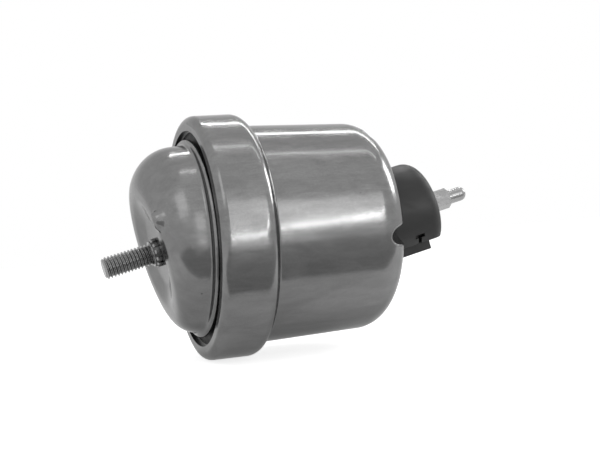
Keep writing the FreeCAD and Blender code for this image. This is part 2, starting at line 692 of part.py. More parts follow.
def rivet(body, turn_step):
    """One rivet standing at its place on the rivet circle."""
    turned(body, [
        ("0", "channel_foot - rivet_head_height"), ("rivet_head_radius", "channel_foot - rivet_head_height"),
        ("rivet_head_radius", "channel_foot"), ("rivet_radius", "channel_foot"), ("rivet_radius", "upper_plate_top"),
        ("rivet_head_radius", "upper_plate_top"), ("rivet_head_radius", "upper_plate_top + rivet_head_height"),
        ("0", "upper_plate_top + rivet_head_height"),
    ])
    for lift, name in (("channel_foot - rivet_head_height", "foot"), ("upper_plate_top + rivet_head_height", "head")):
        rounded(body, "rivet_head_height * 0.6", hoop_at("rivet_head_radius", lift), name)
    turn = "%d * 360 / rivet_count" % turn_step
    body.setExpression("Placement.Base.x", full("rivet_ring * cos((%s) * 1deg)" % turn))
    body.setExpression("Placement.Base.y", full("rivet_ring * sin((%s) * 1deg)" % turn))
    doc.recompute()
    return body


for n in range(int(size("rivet_count"))):
    name = "channel_rivet_%d" % (n + 1)
    nodes[name] = rivet(new_body(name), n)

# --- diaphragm with its steel insert ring ----------------------------------------------------------------------
SLOPE = "((shoulder_inner_lift - shoulder_inner_start) / (collar_inner_radius - can_inner_radius))"


def on_shoulder(radius):
    """Height of the drawn shoulder's inside at a radius, with the seating gap."""
    return "shoulder_inner_start + (%s - can_inner_radius) * %s + seat_gap * 2" % (radius, SLOPE)


INSERT_IN = "channel_body_radius + diaphragm_gauge + seat_gap * 4"
INSERT_OUT = INSERT_IN + " + insert_width"
diaphragm = new_body("diaphragm")
turned(diaphragm, [
    ("0", "-diaphragm_crown"),
    ("channel_body_radius * 0.55", "-diaphragm_crown - 1"),
    ("diaphragm_skirt_radius - 6", "-(diaphragm_drop - diaphragm_gauge)"),
    ("channel_body_radius + seat_gap * 5", "-(diaphragm_drop - diaphragm_gauge) / 2"),
    ("channel_body_radius + seat_gap * 5", "lower_rim_foot"),
    (INSERT_IN, "lower_rim_foot"),
    (INSERT_IN, "lower_rim_foot - insert_gauge"),
    (INSERT_OUT, "lower_rim_foot - insert_gauge"),
    (INSERT_OUT, "lower_rim_foot"),
    ("plate_radius - seat_gap", "lower_rim_foot"),
    ("plate_radius - seat_gap * 2", on_shoulder("collar_inner_radius") + " + seat_gap * 5"),
    ("collar_inner_radius - 1.6", on_shoulder("(collar_inner_radius - 1.6)") + " + seat_gap"),
    ("can_inner_radius + 1.2", on_shoulder("(can_inner_radius + 1.2)")),
    ("diaphragm_skirt_radius + 0.5", "shoulder_inner_start"),
    ("diaphragm_skirt_radius", "-(diaphragm_drop - diaphragm_gauge) / 2 - 1"),
    ("diaphragm_skirt_radius - 5", "-diaphragm_drop"),
    ("channel_body_radius * 0.55 - 0.6", "-diaphragm_crown - diaphragm_gauge - 1"),
    ("0", "-diaphragm_crown - diaphragm_gauge"),
])
nodes["diaphragm"] = diaphragm

insert = new_body("diaphragm_ring")
turned(insert, [
    (INSERT_IN, "lower_rim_foot - insert_gauge"), (INSERT_OUT, "lower_rim_foot - insert_gauge"),
    (INSERT_OUT, "lower_rim_foot"), (INSERT_IN, "lower_rim_foot"),
])
nodes["diaphragm_ring"] = insert

# --- end_boss: moulded, leaning, with a flat, a key and a T slot; its flange sits level in the can -----------------
barrel = new_body("boss_barrel")
turned(barrel, [
    ("0", "-boss_length"), ("boss_radius", "-boss_length"), ("boss_radius", "boss_flange_radius"),
    ("0", "boss_flange_radius"),
])
rounded(barrel, "boss_end_round", hoop_at("boss_radius", "-boss_length"), "end_round")
polygon_solid(barrel, "XZ_Plane", [
    ("-boss_flat", "-boss_length * 2"), ("-boss_flat", "boss_flange_radius * 2"),
    ("-boss_radius * 2", "boss_flange_radius * 2"), ("-boss_radius * 2", "-boss_length * 2"),
], "boss_radius * 4", "flat", "Pocket")
polygon_solid(barrel, "XZ_Plane", [
    ("-boss_flat + 2", "-boss_length + key_start"), ("-boss_flat + 2", "0"),
    ("-key_reach", "0"), ("-key_reach", "-boss_length + key_start"),
], "key_width", "key")
slot_mid = "-boss_length + slot_start + slot_length / 2"
for name, corners in (
    ("slot_bar", [
        ("-slot_offset + slot_width / 2", "-boss_length + slot_start"),
        ("-slot_offset + slot_width / 2", "-boss_length + slot_start + slot_length"),
        ("-slot_offset - slot_width / 2", "-boss_length + slot_start + slot_length"),
        ("-slot_offset - slot_width / 2", "-boss_length + slot_start"),
    ]),
    ("slot_stem", [
        ("-slot_offset", slot_mid + " - slot_width / 2"), ("-slot_offset", slot_mid + " + slot_width / 2"),
        ("-boss_flat", slot_mid + " + slot_width / 2"), ("-boss_flat", slot_mid + " - slot_width / 2"),
    ]),
):
    cut = polygon_solid(barrel, "XZ_Plane", corners, "boss_radius", name, "Pocket", middle=False)
    # the slot lies on the -Y side only, from its floor outward
    cut.Profile[0].setExpression("AttachmentOffset.Base.z", full("slot_floor"))
    cut.Reversed = True
    doc.recompute()
leaned(barrel, "0", "-boss_pivot_depth")

# everything of the barrel above the flange top is trimmed away, then the hub stands on the flange
trim = new_body("boss_trim")
turned(trim, [
    ("0", "-flange_top_depth"), ("can_radius * 1.5", "-flange_top_depth"), ("can_radius * 1.5", "can_radius"),
    ("0", "can_radius"),
])
flange = new_body("boss_flange")
turned(flange, [
    ("0", "-end_inner_depth"), ("boss_flange_radius", "-end_inner_depth"),
    ("boss_flange_radius", "-flange_top_depth"), ("0", "-flange_top_depth"),
])
hub = new_body("boss_hub")
turned(hub, [
    ("0", "-boss_flange_height"), ("hub_radius", "-boss_flange_height"), ("hub_radius", "hub_height"),
    ("0", "hub_height"),
])
rounded(hub, "1", hoop_at("hub_radius", "hub_height"), "edge")
leaned(hub, "0", "-boss_pivot_depth")
pin_bore = new_body("pin_bore")
turned(pin_bore, [
    ("0", "-boss_length * 2"), ("pin_shank_radius", "-boss_length * 2"), ("pin_shank_radius", "boss_length"),
    ("0", "boss_length"),
])
leaned(pin_bore, "0", "-boss_pivot_depth")
trimmed = joined("Cut", "boss_trimmed", barrel, trim)
# the bulges behind the notches lie in scallops of the flange and keep the boss from turning
scallops = joined("MultiFuse", "flange_scallops", *notch_tools("scallop", "notch_radius + sheet_gauge + seat_gap"))
scalloped = joined("Cut", "boss_scalloped", flange, scallops)
boss_full = joined("MultiFuse", "boss_full", trimmed, scalloped, hub)
nodes["end_boss"] = joined("Cut", "end_boss", boss_full, pin_bore)

# --- lower_pin: anchor head inside, shank through the boss, hexagon and smooth nose outside ---------------------
pin = new_body("lower_pin")
turned(pin, [
    ("0", "hub_height + pin_head_height"), ("pin_head_radius", "hub_height + pin_head_height"),
    ("pin_head_radius", "hub_height"), ("pin_shank_radius", "hub_height"), ("pin_shank_radius", "-boss_length"),
    ("pin_radius", "-boss_length"), ("pin_radius", "-boss_length - pin_length"), ("0", "-boss_length - pin_length"),
])
rounded(pin, "pin_nose", hoop_at("pin_radius", "-boss_length - pin_length"), "nose")
rounded(pin, "0.8", hoop_at("pin_head_radius", "hub_height + pin_head_height"), "head_edge")
hexagon = sketch_on(pin, "XY_Plane", "lower_pin_hex_sketch")
outline(hexagon, [
    ("hex_half / cos(30deg) * cos(%d * 60deg)" % n, "hex_half / cos(30deg) * sin(%d * 60deg)" % n) for n in range(6)
])
hexagon.AttachmentOffset = Placement(Vector(0, 0, -size("boss_length")), Rotation())
hexagon.setExpression("AttachmentOffset.Base.z", full("-boss_length"))
nut = pin.newObject("PartDesign::Pad", "lower_pin_hex")
nut.Profile = hexagon
nut.Reversed = True
nut.setExpression("Length", full("hex_length"))
doc.recompute()
leaned(pin, "0", "-boss_pivot_depth")
nodes["lower_pin"] = pin

# --- check and write --------------------------------------------------------------------------------------------
doc.recompute()
for item in doc.Objects:
    bad = [flag for flag in item.State if flag in ("Invalid", "Error")]
    if bad:
        raise RuntimeError("%s is %s" % (item.Label, bad))
os.makedirs("parts", exist_ok=True)
for name, item in nodes.items():
    shape = item.Shape
    if shape.isNull() or not shape.isValid() or len(shape.Solids) != 1:
        raise RuntimeError("%s: %d solids, valid %s" % (name, len(shape.Solids), shape.isValid()))
    shape.exportStep("parts/%s.step" % name)
    print("%-22s %9.1f mm3" % (name, shape.Volume))
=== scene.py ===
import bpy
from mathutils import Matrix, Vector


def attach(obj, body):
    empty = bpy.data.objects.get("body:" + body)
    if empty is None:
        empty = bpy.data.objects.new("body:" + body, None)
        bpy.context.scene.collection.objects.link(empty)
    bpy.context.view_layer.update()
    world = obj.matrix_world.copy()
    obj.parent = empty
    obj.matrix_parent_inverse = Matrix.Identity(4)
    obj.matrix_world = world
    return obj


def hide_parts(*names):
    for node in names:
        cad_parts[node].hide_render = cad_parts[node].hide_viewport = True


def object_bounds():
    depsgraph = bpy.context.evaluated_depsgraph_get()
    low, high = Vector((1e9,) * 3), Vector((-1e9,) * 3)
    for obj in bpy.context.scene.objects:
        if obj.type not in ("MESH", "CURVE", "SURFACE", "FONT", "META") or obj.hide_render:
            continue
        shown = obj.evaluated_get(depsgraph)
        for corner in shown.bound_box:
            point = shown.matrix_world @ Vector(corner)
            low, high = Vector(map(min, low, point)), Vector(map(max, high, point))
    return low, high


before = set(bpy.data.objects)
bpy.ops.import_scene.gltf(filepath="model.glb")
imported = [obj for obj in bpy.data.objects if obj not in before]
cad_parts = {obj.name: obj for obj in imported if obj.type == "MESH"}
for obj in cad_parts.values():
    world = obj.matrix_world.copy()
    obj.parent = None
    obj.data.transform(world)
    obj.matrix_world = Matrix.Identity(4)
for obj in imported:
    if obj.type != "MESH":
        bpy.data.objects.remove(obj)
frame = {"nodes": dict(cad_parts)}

"""Dressed model of a hydraulic engine mount.

A drawn steel can with its collar, a leaning stop cap with a threaded stud, and a black moulded boss with a
hexagon pin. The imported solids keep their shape, apart from the stud, its lock ring and the cap, which are
modelled again with their thread, their teeth and soft folds. The scene is in metres, in the frame of the
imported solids, and the sizes below are in millimetres.
"""

import logging
import math
from dataclasses import dataclass
from enum import Enum
from typing import Callable, Optional, Sequence

import bpy
from mathutils import Matrix, Vector

LOG = logging.getLogger("engine_mount")
MM = 0.001
MERGE_DISTANCE = 1e-6
Triple = tuple[float, float, float]
CAD_BOX = [list(corner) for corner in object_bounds()]


class Slot(Enum):
    """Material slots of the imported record."""

    DRAWN_STEEL = "drawn_steel"
    BRIGHT_STEEL = "bright_steel"
    PLAIN_STEEL = "plain_steel"
    CAST_ALUMINIUM = "cast_aluminium"
    BLACK_RUBBER = "black_rubber"
    BLACK_MOULDING = "black_moulding"


class Part(Enum):
    """What a selection is made of: Blender's name of the mode, and of the mesh's list."""

    FACES = ("FACE", "polygons")
    CORNERS = ("VERT", "vertices")


class Recipe:
    """A material's node tree while it is being wired."""

    def __init__(self, name: str) -> None:
        """Start an empty tree with a principled shader on its output.

        Args:
            name: name of the material.
        """
        self.material = bpy.data.materials.new(name)
        self.material.use_nodes = True
        self.tree = self.material.node_tree
        self.tree.nodes.clear()
        self.shader = self.node("ShaderNodeBsdfPrincipled")
        surface = self.node("ShaderNodeOutputMaterial")
        self.surface = surface.inputs["Surface"]
        self.feed(self.surface, self.shader.outputs["BSDF"])
        place = self.node("ShaderNodeTexCoord")
        scale = self.node("ShaderNodeMapping")
        self.feed(scale.inputs["Scale"], (1 / MM,) * 3)
        self.feed(scale.inputs["Vector"], place.outputs["Object"])
        self.millimetres = scale.outputs["Vector"]

    def node(self, kind: str, **settings: object) -> bpy.types.Node:
        """Add a node and set its plain properties.

        Args:
            kind: Blender's node type.
            settings: properties of the node.

        Returns:
            The new node.
        """
        made = self.tree.nodes.new(kind)
        for key, value in settings.items():
            setattr(made, key, value)
        return made

    def feed(self, socket: bpy.types.NodeSocket, source: object) -> None:
        """Link a socket to another one, or set it to a constant.

        Args:
            socket: input socket.
            source: output socket, number or tuple.
        """
        if isinstance(source, bpy.types.NodeSocket):
            self.tree.links.new(source, socket)
        else:
            socket.default_value = source

    def stretched(self, scale: Sequence[float], shift: Sequence[float] = (0, 0, 0)) -> bpy.types.NodeSocket:
        """Coordinates in millimetres, stretched and moved.

        Args:
            scale: factors along X, Y and Z.
            shift: move in millimetres, which gives each use its own pattern.

        Returns:
            Vector socket.
        """
        mapping = self.node("ShaderNodeMapping")
        for name, value in (("Scale", scale), ("Location", shift), ("Vector", self.millimetres)):
            self.feed(mapping.inputs[name], value)
        return mapping.outputs["Vector"]

    def noise(self, where: bpy.types.NodeSocket, scale: float, detail: float = 4.0, rough: float = 0.5,
              twist: float = 0.0) -> bpy.types.NodeSocket:
        """Smooth noise between 0 and 1.

        Args:
            where: coordinates.
            scale: waves per millimetre.
            detail: octaves.
            rough: weight of the small octaves.
            twist: distortion.

        Returns:
            Value socket.
        """
        made = self.node("ShaderNodeTexNoise", noise_dimensions="3D")
        for name, value in (("Vector", where), ("Scale", scale), ("Detail", detail), ("Roughness", rough),
                            ("Distortion", twist)):
            self.feed(made.inputs[name], value)
        return made.outputs["Fac"]

    def ramp(self, source: bpy.types.NodeSocket, low: float, high: float, start: float = 0.0,
             end: float = 1.0) -> bpy.types.NodeSocket:
        """Straight change from one value to another between two limits of the source.

        Args:
            source: value socket.
            low: source value where the change starts.
            high: source value where it ends.
            start: result at the low limit.
            end: result at the high limit.

        Returns:
            Value socket.
        """
        made = self.node("ShaderNodeMapRange", clamp=True, interpolation_type="SMOOTHSTEP")
        for name, value in (("Value", source), ("From Min", low), ("From Max", high), ("To Min", start),
                            ("To Max", end)):
            self.feed(made.inputs[name], value)
        return made.outputs["Result"]

    def spread(self, noise: bpy.types.NodeSocket, start: float, end: float) -> bpy.types.NodeSocket:
        """Noise spread over a range: its middle part, where nearly all of its values lie, fills the range.

        Args:
            noise: value socket.
            start: lowest result.
            end: highest result.

        Returns:
            Value socket.
        """
        return self.ramp(noise, 0.3, 0.7, start, end)

    def reckon(self, operation: str, first: object, second: object = 0.0) -> bpy.types.NodeSocket:
        """Arithmetic on two values.

        Args:
            operation: Blender's name of the operation.
            first: socket or number.
            second: socket or number.

        Returns:
            Value socket.
        """
        made = self.node("ShaderNodeMath", operation=operation)
        self.feed(made.inputs[0], first)
        self.feed(made.inputs[1], second)
        return made.outputs[0]

    def specks(self, spacing: float, radius: float, share: float, shift: Sequence[float]
               ) -> bpy.types.NodeSocket:
        """Sparse round marks.

        Args:
            spacing: mean distance between the cells in millimetres.
            radius: radius of a mark in millimetres.
            share: part of the cells that has a mark.
            shift: move of the pattern in millimetres.

        Returns:
            Value socket, 1 inside a mark.
        """
        cells = self.node("ShaderNodeTexVoronoi", voronoi_dimensions="3D", feature="F1")
        self.feed(cells.inputs["Vector"], self.stretched((1, 1, 1), shift))
        self.feed(cells.inputs["Scale"], 1 / spacing)
        rim = radius / spacing
        near = self.ramp(cells.outputs["Distance"], rim * 0.45, rim, 1.0, 0.0)
        split = self.node("ShaderNodeSeparateColor")
        self.feed(split.inputs["Color"], cells.outputs["Color"])
        chosen = self.reckon("LESS_THAN", split.outputs["Red"], share)
        return self.reckon("MULTIPLY", near, chosen)

    def grey(self, value: bpy.types.NodeSocket) -> bpy.types.NodeSocket:
        """Neutral colour from one brightness value.

        Args:
            value: brightness.

        Returns:
            Colour socket.
        """
        made = self.node("ShaderNodeCombineColor")
        for name in ("Red", "Green", "Blue"):
            self.feed(made.inputs[name], value)
        return made.outputs["Color"]

    def bump(self, height: bpy.types.NodeSocket, depth: float, under: Optional[bpy.types.NodeSocket] = None
             ) -> bpy.types.NodeSocket:
        """Surface relief.

        Args:
            height: height between 0 and 1.
            depth: depth in millimetres for a height of 1.
            under: normal of a coarser relief below this one.

        Returns:
            Normal socket.
        """
        made = self.node("ShaderNodeBump")
        for name, value in (("Height", height), ("Distance", depth * MM), ("Strength", 1.0)):
            self.feed(made.inputs[name], value)
        if under is not None:
            self.feed(made.inputs["Normal"], under)
        return made.outputs["Normal"]

    def wear(self, **sockets: object) -> bpy.types.Material:
        """Feed the shader's inputs and hand the material over.

        Args:
            sockets: what each input gets; a capital letter starts each word of an input's name, so base_color
                feeds Base Color.

        Returns:
            The finished material.
        """
        for name, source in sockets.items():
            self.feed(self.shader.inputs[name.replace("_", " ").title()], source)
        return self.material


@dataclass(frozen=True)
class SteelFinish:
    """Zinc-plated steel with smears along the draw, small pits and a slightly wavy skin.

    The level is the brightness of the metal seen square on, and the edge level its tint at a glancing angle.
    Scales are waves per millimetre, and depths are millimetres.
    """

    name: str
    level: float = 0.19
    edge_level: float = 0.45
    roughness: float = 0.22
    smear: float = 0.10
    cloud_scale: float = 2.2 / 30.0
    wisp_scale: float = 0.45
    grain_scale: float = 2.4
    grain_depth: float = 0.006
    pit_spacing: float = 5.0
    pit_radius: float = 0.42
    pit_share: float = 0.10
    pit_depth: float = 0.05
    wave_scale: float = 0.075
    wave_depth: float = 0.3
    coat: float = 0.5
    coat_roughness: float = 0.12

    def material(self) -> bpy.types.Material:
        """Wire the finish.

        Returns:
            Its material.
        """
        recipe = Recipe(self.name)
        clouds = recipe.noise(recipe.stretched((1, 1, 0.4), (13, 5, 2)), self.cloud_scale, 5, 0.55, 0.9)
        wisps = recipe.noise(recipe.stretched((1, 1, 0.25), (41, 7, 19)), self.wisp_scale, 4, 0.6, 0.6)
        grain = recipe.noise(recipe.millimetres, self.grain_scale, 3, 0.6)
        waves = recipe.noise(recipe.stretched((1, 1, 0.55), (2, 31, 17)), self.wave_scale, 2, 0.4)
        pits = recipe.specks(self.pit_spacing, self.pit_radius, self.pit_share, (3, 11, 7))
        tone = recipe.ramp(clouds, 0.32, 0.68, self.level * (1 - self.smear), self.level * (1 + self.smear))
        tone = recipe.reckon("MULTIPLY", tone, recipe.spread(wisps, 0.93, 1.05))
        tone = recipe.reckon("MULTIPLY", tone, recipe.spread(grain, 0.93, 1.06))
        tone = recipe.reckon("MULTIPLY", tone, recipe.ramp(pits, 0.0, 1.0, 1.0, 0.45))
        relief = recipe.bump(waves, self.wave_depth)
        relief = recipe.bump(grain, self.grain_depth, relief)
        relief = recipe.bump(pits, -self.pit_depth, relief)
        return recipe.wear(base_color=recipe.grey(tone), metallic=1.0,
                           specular_tint=(self.edge_level,) * 3 + (1.0,),
                           roughness=recipe.spread(wisps, self.roughness * 0.88, self.roughness * 1.15),
                           coat_weight=self.coat, coat_roughness=self.coat_roughness, normal=relief)


@dataclass(frozen=True)
class RubberFinish:
    """Black rubber with a dull, slightly mottled skin."""

    name: str
    level: float = 0.012
    roughness: float = 0.6
    mottle_scale: float = 0.5
    skin_scale: float = 3.0
    skin_depth: float = 0.04

    def material(self) -> bpy.types.Material:
        """Wire the finish.

        Returns:
            Its material.
        """
        recipe = Recipe(self.name)
        mottle = recipe.noise(recipe.millimetres, self.mottle_scale, 4, 0.6)
        skin = recipe.noise(recipe.millimetres, self.skin_scale, 3, 0.6)
        return recipe.wear(base_color=recipe.grey(recipe.spread(mottle, self.level * 0.7, self.level * 1.5)),
                           roughness=recipe.spread(mottle, self.roughness * 0.85, self.roughness * 1.2),
                           normal=recipe.bump(skin, self.skin_depth))


@dataclass(frozen=True)
class MouldingFinish:
    """Black glass-filled plastic with a fine moulded grain over faint flow lines."""

    name: str
    level: float = 0.010
    roughness: float = 0.55
    flow_scale: float = 0.16
    flow_depth: float = 0.12
    grain_scale: float = 4.0
    grain_depth: float = 0.02

    def material(self) -> bpy.types.Material:
        """Wire the finish.

        Returns:
            Its material.
        """
        recipe = Recipe(self.name)
        flow = recipe.noise(recipe.stretched((1, 1, 0.4), (5, 9, 1)), self.flow_scale, 4, 0.55, 0.5)
        grain = recipe.noise(recipe.millimetres, self.grain_scale, 3, 0.6)
        return recipe.wear(base_color=recipe.grey(recipe.spread(flow, self.level * 0.8, self.level * 1.3)),
                           roughness=recipe.spread(flow, self.roughness * 0.85, self.roughness * 1.2),
                           normal=recipe.bump(grain, self.grain_depth, recipe.bump(flow, self.flow_depth)))


@dataclass(frozen=True)
class CastFinish:
    """Cast aluminium with a sandy skin."""

    name: str
    level: float = 0.42
    roughness: float = 0.5
    sand_scale: float = 1.6
    sand_depth: float = 0.06
    stain_scale: float = 0.12

    def material(self) -> bpy.types.Material:
        """Wire the finish.

        Returns:
            Its material.
        """
        recipe = Recipe(self.name)
        sand = recipe.noise(recipe.millimetres, self.sand_scale, 4, 0.65)
        stain = recipe.noise(recipe.millimetres, self.stain_scale, 4, 0.5, 0.6)
        return recipe.wear(base_color=recipe.grey(recipe.spread(stain, self.level * 0.75, self.level * 1.15)),
                           metallic=1.0,
                           roughness=recipe.spread(sand, self.roughness * 0.85, self.roughness * 1.2),
                           normal=recipe.bump(sand, self.sand_depth))


def fade(value: float) -> float:
    """Limit a value to 0 and 1."""
    return min(max(value, 0.0), 1.0)


class Bench:
    """Hand tools: every call works on one object, with everything else deselected."""

    @staticmethod
    def clear() -> None:
        """Leave edit mode and deselect everything."""
        if bpy.context.object is not None and bpy.context.object.mode != "OBJECT":
            bpy.ops.object.mode_set(mode="OBJECT")
        bpy.ops.object.select_all(action="DESELECT")

    @staticmethod
    def take(piece: bpy.types.Object) -> None:
        """Select one object alone and make it the active one.

        Args:
            piece: the object.
        """
        Bench.clear()
        piece.select_set(True)
        bpy.context.view_layer.objects.active = piece

    @staticmethod
    def pick(piece: bpy.types.Object, part: Part, test: Callable[[object], bool]) -> None:
        """Open a piece in edit mode with the faces or vertices that pass a test selected.

        Args:
            piece: mesh object.
            part: whether faces or vertices are selected.
            test: says whether one of them is taken.
        """
        mode, parts = part.value
        Bench.take(piece)
        bpy.ops.object.mode_set(mode="EDIT")
        bpy.ops.mesh.select_mode(type=mode)
        bpy.ops.mesh.select_all(action="DESELECT")
        bpy.ops.object.mode_set(mode="OBJECT")
        candidates = getattr(piece.data, parts)
        candidates.foreach_set("select", [test(candidate) for candidate in candidates])
        bpy.ops.object.mode_set(mode="EDIT")

    @staticmethod
    def cylinder(name: str, radius: float, low: float, high: float, sides: int = 64) -> bpy.types.Object:
        """Upright cylinder on the Z axis.

        Args:
            name: name of the object.
            radius: radius in millimetres.
            low: lower end in millimetres.
            high: upper end in millimetres.
            sides: faces around it.

        Returns:
            The cylinder.
        """
        Bench.clear()
        bpy.ops.mesh.primitive_cylinder_add(vertices=sides, radius=radius * MM, depth=(high - low) * MM,
                                            location=(0, 0, (high + low) / 2 * MM))
        made = bpy.context.object
        made.name = made.data.name = name
        bpy.ops.object.transform_apply(location=True, rotation=True, scale=True)
        return made

    @staticmethod
    def modify(piece: bpy.types.Object, kind: str, **settings: object) -> None:
        """Add a modifier and apply it.

        Args:
            piece: mesh object.
            kind: Blender's modifier type.
            settings: properties of the modifier.
        """
        Bench.take(piece)
        made = piece.modifiers.new(kind.lower(), kind)
        for key, value in settings.items():
            setattr(made, key, value)
        bpy.ops.object.modifier_apply(modifier=made.name)

    @staticmethod
    def combine(piece: bpy.types.Object, tool: bpy.types.Object, operation: str) -> None:
        """Boolean of a piece with a tool, which is used up.

        Args:
            piece: object that stays.
            tool: object that goes.
            operation: UNION, INTERSECT or DIFFERENCE.
        """
        Bench.modify(piece, "BOOLEAN", object=tool, operation=operation, solver="EXACT")
        bpy.data.objects.remove(tool)

    @staticmethod
    def place(piece: bpy.types.Object, frame_of_piece: Matrix) -> None:
        """Put a piece made on the Z axis into its own frame, and keep that in its mesh.

        Args:
            piece: mesh object.
            frame_of_piece: rotation and place in metres.
        """
        Bench.take(piece)
        piece.matrix_world = frame_of_piece
        bpy.ops.object.transform_apply(location=True, rotation=True, scale=True)

    @staticmethod
    def finish(piece: bpy.types.Object, material: bpy.types.Material, slot: Slot, stands_for: Sequence[str],
               angle: float) -> bpy.types.Object:
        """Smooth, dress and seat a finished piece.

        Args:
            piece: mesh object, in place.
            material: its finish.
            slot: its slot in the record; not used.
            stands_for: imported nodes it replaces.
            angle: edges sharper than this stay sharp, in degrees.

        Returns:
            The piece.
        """
        Bench.take(piece)
        bpy.ops.object.shade_smooth_by_angle(angle=math.radians(angle))
        piece.data.materials.clear()
        piece.data.materials.append(material)
        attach(piece, "root")
        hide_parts(*stands_for)
        LOG.info("built %s: %d faces", piece.name, len(piece.data.polygons))
        return piece


@dataclass
class StudGroup:
    """Leaning stud with its thread, and the toothed lock ring at its foot.

    Heights are measured along the stud from the cap face. What is joined runs into its neighbour by the weld
    length, so that no two faces coincide.
    """

    seat: Triple = (-3.73, 0.0, 33.72)
    lean: float = 12.5
    weld: float = 0.2
    thread_radius: float = 4.0
    root_radius: float = 3.27
    pitch: float = 1.25
    ridge_sink: float = 0.15
    ridge_foot: float = 0.98
    crest_flat: float = 0.14
    crest_cut: float = 0.01
    steps_per_turn: int = 40
    core_foot: float = 1.0
    neck_radius: float = 3.8
    neck_height: float = 2.6
    neck_sink: float = 1.0
    length: float = 20.4
    lead: float = 0.8
    shank_radius: float = 4.6
    head_top: float = -19.0
    head_radius: float = 7.0
    head_height: float = 3.0
    stud_crease: float = 25.0
    ring_radius: float = 5.2
    ring_body_radius: float = 4.62
    ring_height: float = 2.0
    ring_play: float = 0.02
    ring_lift: float = 0.03
    teeth: int = 12
    tooth_taper: float = 0.72
    tooth_floor: float = 0.1
    tooth_edge: float = 0.08
    lip_radius: float = 4.7
    lip_height: float = 0.6
    lip_sink: float = 0.1
    lip_edge: float = 0.12
    ring_crease: float = 35.0

    def frame_of_stud(self) -> Matrix:
        """Frame of the stud: its Z runs up the stud from the cap face."""
        return Matrix.Translation(Vector(self.seat) * MM) @ Matrix.Rotation(-math.radians(self.lean), 4, "Y")

    def ridge_outline(self) -> bpy.types.Object:
        """Section of the thread ridge, as a loop of four edges in the XZ plane at the thread's start.

        Returns:
            The loop.
        """
        Bench.clear()
        bpy.ops.mesh.primitive_plane_add(size=1 * MM)
        made = bpy.context.object
        made.name = "thread_ridge"
        bpy.ops.object.mode_set(mode="EDIT")
        bpy.ops.mesh.select_all(action="SELECT")
        bpy.ops.transform.rotate(value=math.radians(90), orient_axis="X", center_override=(0, 0, 0))
        depth = self.thread_radius - self.root_radius
        inner = self.root_radius - self.ridge_sink
        bpy.ops.transform.resize(value=(depth + self.ridge_sink, 1, self.pitch * self.ridge_foot),
                                 center_override=(0, 0, 0))
        bpy.ops.transform.translate(value=((inner + self.thread_radius) / 2 * MM, 0, 0))
        bpy.ops.object.mode_set(mode="OBJECT")
        crest = self.thread_radius * MM * 0.99
        Bench.pick(made, Part.CORNERS, lambda corner: corner.co.x > crest)
        bpy.ops.transform.resize(value=(1, 1, self.crest_flat), center_override=(0, 0, 0))
        bpy.ops.mesh.select_all(action="SELECT")
        bpy.ops.mesh.delete(type="ONLY_FACE")
        bpy.ops.mesh.select_all(action="SELECT")
        bpy.ops.transform.translate(value=(0, 0, (self.neck_height - self.pitch) * MM))
        bpy.ops.object.mode_set(mode="OBJECT")
        return made

    def ridge(self) -> bpy.types.Object:
        """Helical ridge of the thread, closed and longer than the thread at both ends.

        Returns:
            The ridge.
        """
        made = self.ridge_outline()
        turns = math.ceil((self.length - self.neck_height) / self.pitch) + 2
        Bench.modify(made, "SCREW", axis="Z", steps=self.steps_per_turn, render_steps=self.steps_per_turn,
                     screw_offset=self.pitch * MM, iterations=turns, use_merge_vertices=True,
                     merge_threshold=MERGE_DISTANCE, use_normal_calculate=True)
        Bench.take(made)
        bpy.ops.object.mode_set(mode="EDIT")
        bpy.ops.mesh.select_mode(type="EDGE")
        bpy.ops.mesh.select_all(action="DESELECT")
        bpy.ops.mesh.select_non_manifold(extend=False, use_wire=False, use_boundary=True,
                                         use_multi_face=False, use_non_contiguous=False, use_verts=False)
        bpy.ops.mesh.edge_face_add()
        bpy.ops.mesh.select_all(action="SELECT")
        bpy.ops.mesh.normals_make_consistent(inside=False)
        bpy.ops.object.mode_set(mode="OBJECT")
        return made

    def stud(self, material: bpy.types.Material) -> bpy.types.Object:
        """Stud with head, shank, neck and thread.

        Args:
            material: its finish.

        Returns:
            The stud.
        """
        made = Bench.cylinder("threaded_stud", self.root_radius, self.core_foot, self.length)
        Bench.combine(made, self.ridge(), "UNION")
        crest = self.thread_radius - self.crest_cut
        envelope = Bench.cylinder("thread_envelope", crest, self.neck_height, self.length)
        Bench.pick(envelope, Part.FACES, lambda face: face.normal.z > 0.9)
        self.bevel_picked(1)
        Bench.combine(made, envelope, "INTERSECT")
        neck = Bench.cylinder("stud_neck", self.neck_radius, -self.neck_sink, self.neck_height + self.weld)
        Bench.combine(made, neck, "UNION")
        shank = Bench.cylinder("stud_shank", self.shank_radius, self.head_top - self.weld, 0.0)
        Bench.combine(made, shank, "UNION")
        head = Bench.cylinder("stud_head", self.head_radius, self.head_top - self.head_height, self.head_top)
        Bench.pick(head, Part.FACES, lambda face: face.normal.z < -0.9)
        self.bevel_picked(3)
        Bench.combine(made, head, "UNION")
        made.name = made.data.name = "threaded_stud"
        Bench.place(made, self.frame_of_stud())
        return Bench.finish(made, material, Slot.BRIGHT_STEEL, ["upper_stud"], self.stud_crease)

    def bevel_picked(self, segments: int) -> None:
        """Break the edges of the selected end face and leave edit mode.

        Args:
            segments: faces across the bevel.
        """
        bpy.ops.mesh.bevel(offset=self.lead * MM, offset_type="OFFSET", segments=segments, affect="EDGES")
        bpy.ops.object.mode_set(mode="OBJECT")

